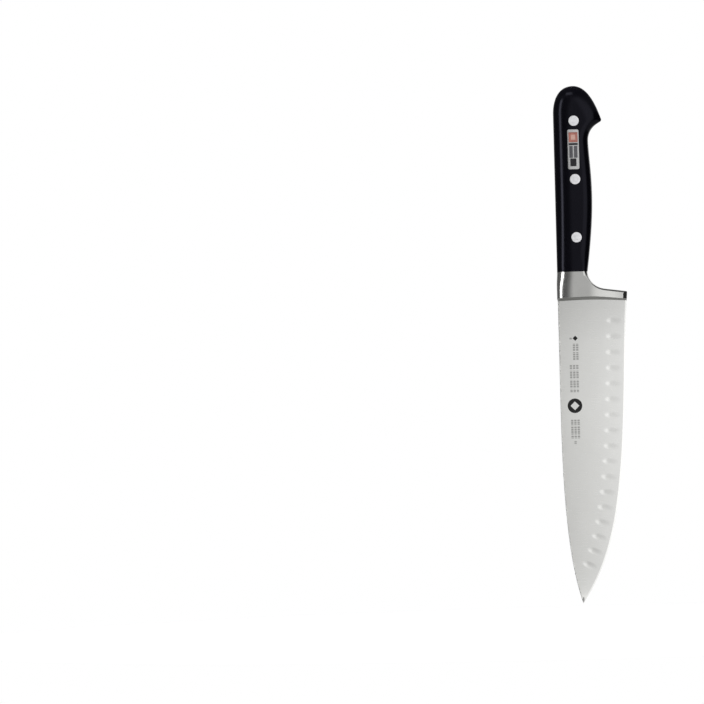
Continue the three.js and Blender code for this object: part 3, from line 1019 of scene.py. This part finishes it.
class Look(Nodes):
    """A material; its uniform settings sit on the shader's own sockets."""

    def __init__(self, name, **settings):
        self.material = bpy.data.materials.new(name)
        self.material.use_nodes = True
        super().__init__(self.material.node_tree, "Object")
        self.shader = self.tree.nodes["Principled BSDF"]
        self.set(**settings)

    def set(self, **inputs):
        for socket, value in inputs.items():
            self.link(value, self.shader.inputs[socket.replace("_", " ")])

    def tones(self, grain, low, high, rough):
        """A colour and a roughness that follow one noise."""
        self.set(
            Base_Color=self.ramp(grain, (0.3, low), (0.7, high)),
            Roughness=self.ramp(grain, (0.3, rough[0]), (0.7, rough[1])),
        )


def radius_from(look, x, z):
    """Distance from the axis that x and z are measured from."""
    squares = look.math("ADD", look.math("MULTIPLY", x, x), look.math("MULTIPLY", z, z))
    return look.math("SQRT", squares)


def offsets(look, x, z, centre):
    """How far x and z lie from a centre, which is given in millimetres."""
    return [look.math("SUBTRACT", v, c * MM) for v, c in zip((x, z), centre)]


def box_mask(look, x, z, centre, width, length):
    """1 inside a rectangle of the blade's face and 0 outside."""
    near = [look.math("ABSOLUTE", off) for off in offsets(look, x, z, centre)]
    in_x = look.math("LESS_THAN", near[0], width / 2 * MM)
    in_z = look.math("LESS_THAN", near[1], length / 2 * MM)
    return look.math("MULTIPLY", in_x, in_z)


def disc_mask(look, x, z, centre, radius):
    far = radius_from(look, *offsets(look, x, z, centre))
    return look.math("LESS_THAN", far, radius * MM)


def diamond_mask(look, x, z, centre, reach):
    near = [look.math("ABSOLUTE", off) for off in offsets(look, x, z, centre)]
    return look.math("LESS_THAN", look.math("ADD", *near), reach * MM)


def bars(look, z, pitch, share):
    """1 in bars across the knife that repeat along it; z is kept positive."""
    turned = look.math("FRACT", look.math("DIVIDE", look.math("ADD", z, 1.0), pitch * MM))
    return look.math("LESS_THAN", turned, share)


ROUNDEL = (-8.7, -41.7)
ROUNDEL_RADIUS = 4.8
ETCH_WIDTH = 1.5
ETCH_PITCH = 2.1
ETCH_STRENGTH = 0.5
DASH_PITCH, DASH_SHARE = 1.5, 0.75
GROUP_PITCH, GROUP_SHARE = 6.1, 0.88
SMALL_LOZENGE, SMALL_REACH = (-7.4, 2.7), 1.7
# Painted light and shade on the blade's face: how far the base-colour ramps run across and along
# it, and where they centre.
TONE_WIDTH = 45.0
TONE_LENGTH = 64.0
TONE_MIDDLE = 0.4
RINGS_PER_METRE = 9000.0
# Middle of each block of dashes, how many rows it has and how long they are.
ETCHED_ROWS = (
    ((-10.4, 2.7), 1, 1.6), ((-7.3, -6.5), 2, 11.4), ((-8.6, -23.9), 3, 18.2),
    ((-8.7, -56.9), 3, 12.6), ((-8.9, -66.2), 1, 2.6),
)


def etched_marks(look):
    """Plain etched marks on the front face: a dark roundel with a lozenge, and rows of bars."""
    x, y, z = look.axes()
    front = look.math("LESS_THAN", y, 0.0)
    roundel = disc_mask(look, x, z, ROUNDEL, ROUNDEL_RADIUS)
    lozenge = diamond_mask(look, x, z, ROUNDEL, 0.6 * ROUNDEL_RADIUS)
    dark = look.math("MULTIPLY", roundel, look.math("SUBTRACT", 1.0, lozenge))
    dark = look.math("MAXIMUM", dark, diamond_mask(look, x, z, SMALL_LOZENGE, SMALL_REACH))
    dashes = bars(look, z, DASH_PITCH, DASH_SHARE)
    dashes = look.math("MULTIPLY", dashes, bars(look, z, GROUP_PITCH, GROUP_SHARE))
    dashes = look.math("MULTIPLY", dashes, ETCH_STRENGTH)
    for centre, columns, length in ETCHED_ROWS:
        for column in range(columns):
            at = (centre[0] + ETCH_PITCH * (column - (columns - 1) / 2), centre[1])
            row = box_mask(look, x, z, at, ETCH_WIDTH, length)
            dark = look.math("MAXIMUM", dark, look.math("MULTIPLY", row, dashes))
    return look.math("MULTIPLY", dark, front)


def satin_steel():
    """Blade faces: fine grinding lines from the spine to the edge, with painted light that makes
    the face brighter towards the edge and painted shade that darkens it towards the bolster.
    """
    look = Look("satin_steel", Metallic=1.0)
    lines = look.noise((90, 90, 5200), detail=5)
    cloud = look.noise((60, 60, 35), detail=3)
    x, _, z = look.axes()
    # Painted light: the base colour brightens from the spine towards the edge.
    across = look.math("MULTIPLY_ADD", x, 1 / (TONE_WIDTH * MM), TONE_MIDDLE)
    painted_light_across = look.ramp(across, (0.0, (0.71, 0.71, 0.69)), (1.0, (0.93, 0.93, 0.91)))
    # Painted shade: the base colour darkens towards the bolster, multiplied with a faint random
    # mottle of the steel's own tone.
    down = look.math("MULTIPLY_ADD", z, -1 / (TONE_LENGTH * MM), TONE_MIDDLE)
    mottle_and_painted_shade = look.ramp(cloud, (0.35, 0.97), (0.65, 1.0))
    mottle_and_painted_shade = look.mix(1.0, look.ramp(down, (0.0, 0.8), (0.4, 0.94), (1.0, 1.0)), mottle_and_painted_shade, "MULTIPLY")
    base = look.mix(1.0, painted_light_across, mottle_and_painted_shade, "MULTIPLY")
    marks = etched_marks(look)
    look.set(
        Base_Color=look.mix(marks, base, (0.03, 0.03, 0.03, 1)),
        Roughness=look.ramp(lines, (0.3, 0.26), (0.7, 0.34)),
        Normal=look.bump(lines, 0.000004, 0.5),
    )
    return look.material


def polished_steel():
    """Bolster: a brighter polish with faint wiping scratches."""
    look = Look("polished_steel", Metallic=1.0)
    scratches = look.noise((700, 700, 60), detail=6)
    cloud = look.noise((90, 90, 90), detail=3)
    look.set(
        Base_Color=look.ramp(cloud, (0.3, (0.48, 0.48, 0.465)), (0.7, (0.52, 0.52, 0.505))),
        Roughness=look.ramp(scratches, (0.3, 0.13), (0.7, 0.19)),
        Normal=look.bump(scratches, 0.000003, 0.4),
    )
    return look.material


def tang_steel():
    """Spine and tang edges, ground along their length."""
    look = Look("tang_steel", Metallic=1.0)
    lines = look.noise((3000, 3000, 80), detail=5)
    look.tones(lines, (0.50, 0.50, 0.49), (0.56, 0.56, 0.55), (0.38, 0.46))
    look.set(Normal=look.bump(lines, 0.000003, 0.4))
    return look.material


def handle_polymer():
    """Black moulded polymer, buffed, with a faint grain and hairline scuffs."""
    tint = (0.78, 0.78, 1.0, 1.0)
    look = Look("handle_polymer", IOR=1.46, Specular_IOR_Level=0.16, Specular_Tint=tint)
    grain = look.noise((2400, 2400, 2400), detail=2)
    scuffs = look.noise((500, 500, 70), detail=6)
    cloud = look.noise((70, 70, 50), detail=3)
    look.set(
        Base_Color=look.ramp(
            cloud, (0.35, (0.0012, 0.0011, 0.002)), (0.65, (0.0018, 0.0017, 0.0028)),
        ),
        Roughness=look.ramp(scuffs, (0.35, 0.13), (0.7, 0.18)),
        Normal=look.bump(scuffs, 0.000004, 0.35, look.bump(grain, 0.000004, 0.3)),
    )
    return look.material


def rivet_steel():
    """Bright rivet heads, turned round their axis."""
    look = Look("rivet_steel", Metallic=1.0)
    x, _, z = look.axes()
    turns = look.math("MULTIPLY", radius_from(look, x, z), RINGS_PER_METRE)
    inputs = {"W": turns, "Scale": 1.0, "Detail": 3.0}
    rings = look.node("TexNoise", inputs, noise_dimensions="1D").outputs["Fac"]
    look.tones(rings, (0.93, 0.93, 0.95), (0.98, 0.98, 1.0), (0.42, 0.5))
    look.set(Normal=look.bump(rings, 0.000003, 0.3))
    return look.material


def inlay(name, noise, low, high, rough=(0.25, 0.35), **settings):
    look = Look(name, **settings)
    look.tones(look.noise(*noise), low, high, rough)
    return look.material


def emblem_looks():
    """Silvered frame, dark brushed grips, red enamel with a paler square, and dark tiles."""
    enamel = {"Coat_Weight": 0.6, "Coat_Roughness": 0.08, "Specular_IOR_Level": 0.3}
    dark = {"Coat_Weight": 0.3, "Coat_Roughness": 0.1, "Specular_IOR_Level": 0.2}
    brushed = {"rough": (0.3, 0.42), "Metallic": 1.0}
    across = ((400, 400, 5000), 4)
    along = ((6000, 6000, 300), 4)
    even = ((900, 900, 900), 3)
    grip = ((0.11, 0.11, 0.12), (0.17, 0.17, 0.18))
    return {
        "silver": inlay("emblem_silver", across, 0.58, 0.68, Metallic=1.0),
        "brushed": inlay("emblem_brushed", along, *grip, **brushed),
        "enamel": inlay("emblem_enamel", even, (0.28, 0.10, 0.08), (0.33, 0.12, 0.09), **enamel),
        "pale": inlay("emblem_pale", even, (0.42, 0.25, 0.21), (0.47, 0.29, 0.24), **enamel),
        "dark": inlay("emblem_dark", even, (0.006, 0.006, 0.008), (0.012, 0.012, 0.015), **dark),
    }


# Studio.

FLOOR_GAP = 18.0
FLOOR_RADIUS = 450.0
LAMP_HEIGHT = 1300.0
LAMP_SIZE = 1100.0
LAMP_POWER = 45.0
STUDIO_PEAK = 6.0


def floor():
    """A round pale floor below the tip."""
    rim = circle((0, 0), FLOOR_RADIUS, 96)
    z = TIP_Z - FLOOR_GAP
    mesh = bpy.data.meshes.new("floor")
    mesh.from_pydata([(x * MM, y * MM, z * MM) for x, y in rim], [], [list(range(len(rim)))])
    look = Look("floor", Specular_IOR_Level=0.1, Roughness=0.9)
    look.set(Base_Color=look.ramp(look.noise((8, 8, 8)), (0.3, 0.86), (0.7, 0.88)))
    mesh.materials.append(look.material)
    made = bpy.data.objects.new("floor", mesh)
    bpy.context.scene.collection.objects.link(made)
    made.visible_glossy = False


def floor_lamp():
    """A wide soft lamp overhead that lights the floor."""
    lamp = bpy.data.lights.new("floor_lamp", "AREA")
    lamp.size = LAMP_SIZE * MM
    lamp.energy = LAMP_POWER
    made = bpy.data.objects.new("floor_lamp", lamp)
    made.location = (0, 0, LAMP_HEIGHT * MM)
    made.visible_glossy = False
    made.visible_camera = False
    bpy.context.scene.collection.objects.link(made)


# Brightness all round, mirrored behind the knife, by degrees from straight ahead; left is negative.
AROUND = (
    (-90, 0.15), (-51, 0.2), (-30, 0.12), (-18, 0.16), (-10, 0.3), (-4, 0.6), (0, 0.75), (5, 0.78),
    (10, 1.05), (18, 1.35), (45, 1.3), (56, 0.4), (62, 0.03), (90, 0.03),
)
# Brightness by elevation where the walls give way to the floor and the ceiling.
OVER = ((-90, 0.36), (-50, 0.38), (-38, 0.5), (-24, 0.6), (28, 0.35), (40, 0.15), (90, 0.15))
# How much of the walls counts at each elevation.
WALLS = ((-27, 0.0), (-19, 1.0), (18, 1.0), (28, 0.0))
# A narrow bright strip to the left, much weaker behind the knife: its spread by angle, by how far
# the direction points away from the front, and by elevation.
STRIP_AROUND = ((-51, 0.0), (-48, 1.0), (-40, 1.0), (-37, 0.0))
STRIP_FRONT = ((-0.05, 1.0), (0.05, 0.12))
STRIP_OVER = ((-20, 0.0), (-15, 1.0), (18, 1.0), (24, 0.0))
STRIP_SHARE = 0.92
# A small soft box above and to the left: its spread by angle and by elevation.
PATCH_AROUND = ((-34, 0.0), (-30, 1.0), (-3, 1.0), (2, 0.0))
PATCH_OVER = ((34, 0.0), (37, 1.0), (46, 1.0), (49, 0.0))
PATCH_SHARE = 0.5


def by_angle(nodes, factor, stops, peak=1.0):
    """A grey ramp whose stops are placed by degrees from -90 to 90."""
    return nodes.ramp(factor, *[(angle / 180 + 0.5, value / peak) for angle, value in stops])


def studio():
    """White to the camera, and soft boxes, a strip and dark flags to everything else."""
    world = bpy.data.worlds.new("studio")
    world.use_nodes = True
    world.node_tree.nodes.clear()
    nodes = Nodes(world.node_tree, "Generated")
    x, y, z = nodes.axes()
    turned = nodes.math("ARCTAN2", x, nodes.math("ABSOLUTE", y))
    lifted = nodes.math("ARCSINE", z)
    around = nodes.math("MULTIPLY_ADD", turned, 1 / math.pi, 0.5)
    over = nodes.math("MULTIPLY_ADD", lifted, 1 / math.pi, 0.5)
    walls = by_angle(nodes, around, AROUND, STUDIO_PEAK)
    ends = by_angle(nodes, over, OVER, STUDIO_PEAK)
    glow = nodes.mix(by_angle(nodes, over, WALLS), ends, walls)
    strip = by_angle(nodes, around, STRIP_AROUND)
    ahead = nodes.ramp(nodes.math("ADD", y, 0.5), *[(a + 0.5, v) for a, v in STRIP_FRONT])
    strip = nodes.mix(1.0, strip, ahead, "MULTIPLY")
    strip = nodes.mix(1.0, strip, by_angle(nodes, over, STRIP_OVER), "MULTIPLY")
    glow = nodes.mix(strip, glow, (STRIP_SHARE, STRIP_SHARE, STRIP_SHARE, 1))
    patch = by_angle(nodes, around, PATCH_AROUND)
    patch = nodes.mix(1.0, patch, by_angle(nodes, over, PATCH_OVER), "MULTIPLY")
    glow = nodes.mix(patch, glow, (PATCH_SHARE, PATCH_SHARE, PATCH_SHARE, 1))
    seen = nodes.node("LightPath").outputs["Is Camera Ray"]
    lit = nodes.node("Background", {"Color": glow, "Strength": STUDIO_PEAK}).outputs[0]
    white = nodes.node("Background", {"Color": (1, 1, 1, 1), "Strength": 1.0}).outputs[0]
    chosen = nodes.node("MixShader", {0: seen, 1: lit, 2: white}).outputs[0]
    nodes.node("OutputWorld", {"Surface": chosen})
    bpy.context.scene.world = world
    bpy.context.scene.view_settings.view_transform = "Standard"


# The knife hangs right of the middle of the picture, its butt leaning a little to the left.
LENS = 400.0
SENSOR = 36.0
FIELD = 463.2
VIEW_X = -154.4
VIEW_Z = -2.5
VIEW_ROLL = 1.5


def camera():
    data = bpy.data.cameras.new("camera")
    data.lens = LENS
    data.sensor_width = SENSOR
    data.clip_end = 20
    made = bpy.data.objects.new("camera", data)
    distance = FIELD * LENS / SENSOR
    made.location = Vector((VIEW_X, MID_Y - distance, VIEW_Z)) * MM
    made.rotation_euler = (math.radians(90), math.radians(VIEW_ROLL), 0)
    bpy.context.scene.collection.objects.link(made)
    bpy.context.scene.camera = made


def build():
    camera()
    studio()
    floor()
    floor_lamp()
    forging([satin_steel(), polished_steel(), tang_steel()])
    polymer = handle_polymer()
    handle_scale(FRONT, "scale_front", polymer)
    handle_scale(BACK, "scale_back", polymer)
    bright = rivet_steel()
    for name, axis in zip(RIVETS, rivet_axes()):
        rivet_sleeve(name, axis, bright)
        rivet_pin(name, axis, bright)
    emblem(emblem_looks())


build()
